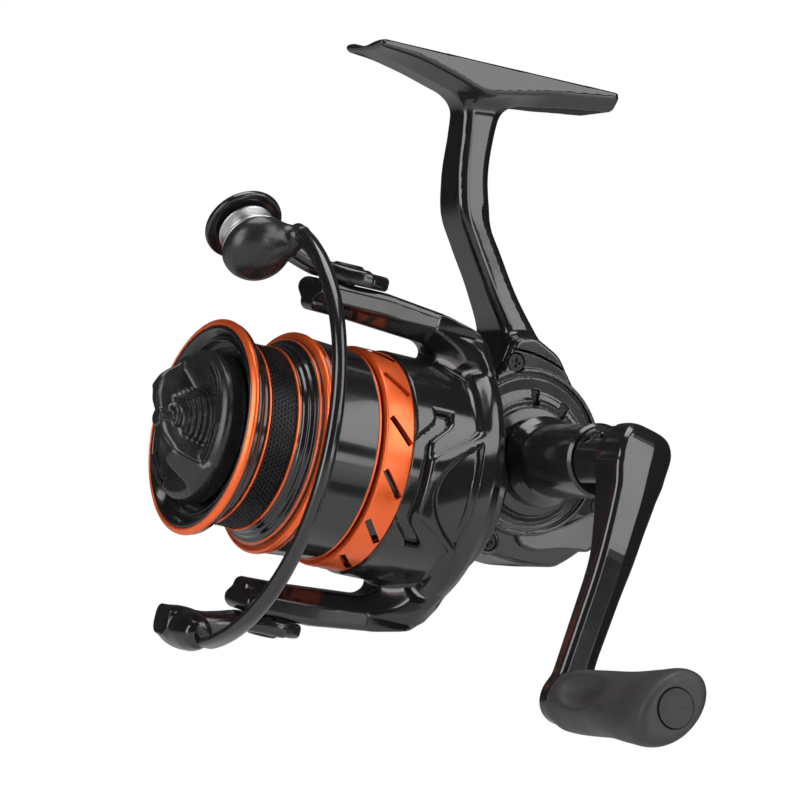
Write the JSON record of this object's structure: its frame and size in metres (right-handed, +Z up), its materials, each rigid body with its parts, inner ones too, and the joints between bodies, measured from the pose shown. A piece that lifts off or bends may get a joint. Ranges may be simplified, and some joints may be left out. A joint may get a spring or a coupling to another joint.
{
  "type": "spinning reel",
  "caption": "Front-drag spinning fishing reel with a folding crank handle, a swinging wire bail and a foot that clamps in a rod's reel seat.",
  "frame": {"origin": "middle of the foot's seat, on the line that the rod's reel seat holds", "axes": "+Z up from the spool to the rod, +X rearwards along the spool's axis, -Y towards the crank handle"},
  "size_m": [0.0981, 0.1173, 0.1315],
  "materials": {
    "gloss_black": "glossy moulded black",
    "orange_metal": "orange anodised, satin",
    "dark_knurl": "dark anodised, knurled",
    "satin_black": "satin moulded black",
    "grip_rubber": "matte dark-grey grip",
    "silver_metal": "polished",
    "steel": "brushed",
    "black_steel": "black oxide, semi-gloss",
    "gear_zinc": "die-cast grey",
    "brass": "machined",
    "felt": "oiled felt",
    "white_plastic": "natural bearing plastic"
  },
  "bodies": {
    "body": {"body_frame": "gloss_black", "side_cover": "gloss_black", "rear_guard": "satin_black", "cover_screws": "black_steel", "near_bearing": "steel", "far_bearing": "steel", "pinion_bearing": "steel", "clutch_race": "steel", "clutch_rollers": "steel", "nose_retainer": "white_plastic", "guide_rod": "steel"},
    "handle": {"drive_gear": "gear_zinc", "drive_tube": "gear_zinc", "handle_shank": "gloss_black", "handle_lock_cap": "satin_black"},
    "crank": {"handle_arm": "gloss_black", "fold_pin": "steel", "knob_spindle": "steel", "spindle_screw": "black_steel"},
    "knob": {"knob_grip": "grip_rubber", "knob_bushes": "white_plastic", "knob_cap": "satin_black"},
    "oscillation": {"oscillation_gear": "gear_zinc"},
    "rotor_group": {"rotor": "gloss_black", "rotor_band": "orange_metal", "rotor_nut": "brass", "rotor_washer": "steel", "pinion": "brass", "clutch_sleeve": "steel", "arm_covers": "gloss_black", "arm_cover_screws": "black_steel", "pivot_screws": "black_steel", "bail_spring": "steel", "spring_rod": "steel", "counterweight": "steel"},
    "bail": {"bail_arm": "gloss_black", "roller_pin": "black_steel", "wire_cone": "gloss_black", "bail_wire": "gloss_black", "bail_lever": "gloss_black"},
    "roller": {"line_roller": "silver_metal", "roller_bush": "white_plastic"},
    "shaft": {"main_shaft": "steel", "spool_support": "white_plastic", "oscillation_slider": "gear_zinc", "slider_screw": "steel", "drag_plates": "steel"},
    "spool_group": {"spool": "gloss_black", "lip_ring": "orange_metal", "arbor_band": "dark_knurl", "arbor_rings": "orange_metal", "flange_ring": "orange_metal", "drag_felts": "felt", "drag_retainer": "steel", "click_gear": "white_plastic"},
    "drag": {"drag_knob": "gloss_black", "knob_nut": "brass", "knob_spring": "steel"}
  },
  "joints": [
    {"name": "handle_turn", "type": "hinge", "parent": "body", "child": "handle", "pos_m": [0.0179, -0.02, -0.0754], "axis": [0, -1, 0], "continuous": true},
    {"name": "handle_fold", "type": "hinge", "parent": "handle", "child": "crank", "pos_m": [0.01817, -0.0437, -0.07413], "axis": [-0.9781, 0, 0.2079], "range_deg": [0, 90]},
    {"name": "knob_spin", "type": "hinge", "parent": "crank", "child": "knob", "pos_m": [0.0078, -0.0582, -0.12294], "axis": [0, -1, 0], "continuous": true},
    {"name": "rotor_spin", "type": "hinge", "parent": "body", "child": "rotor_group", "pos_m": [0, 0, -0.0814], "axis": [-1, 0, 0], "continuous": true},
    {"name": "bail_swing", "type": "hinge", "parent": "rotor_group", "child": "bail", "pos_m": [-0.0251, 0, -0.0814], "axis": [0, 0.1392, -0.9903], "range_deg": [0, 115]},
    {"name": "line_roller_spin", "type": "hinge", "parent": "bail", "child": "roller", "pos_m": [-0.0481, -0.00376, -0.04244], "axis": [0.1108, -0.7739, -0.6235], "continuous": true},
    {"name": "oscillation_gear_spin", "type": "hinge", "parent": "body", "child": "oscillation", "pos_m": [0.02399, -0.005, -0.0848], "axis": [0, -1, 0], "continuous": true},
    {"name": "spool_stroke", "type": "slide", "parent": "body", "child": "shaft", "axis": [-1, 0, 0], "range_m": [0, 0.0095]},
    {"name": "spool_drag_slip", "type": "hinge", "parent": "shaft", "child": "spool_group", "pos_m": [-0.04, 0, -0.0814], "axis": [-1, 0, 0], "continuous": true},
    {"name": "drag_knob_turn", "type": "hinge", "parent": "shaft", "child": "drag", "pos_m": [-0.05, 0, -0.0814], "axis": [-1, 0, 0], "range_deg": [-120, 600]}
  ],
  "couplings": [
    {"joint": "rotor_spin", "follows": "handle_turn", "ratio": 5},
    {"joint": "oscillation_gear_spin", "follows": "handle_turn", "ratio": -0.6}
  ]
}
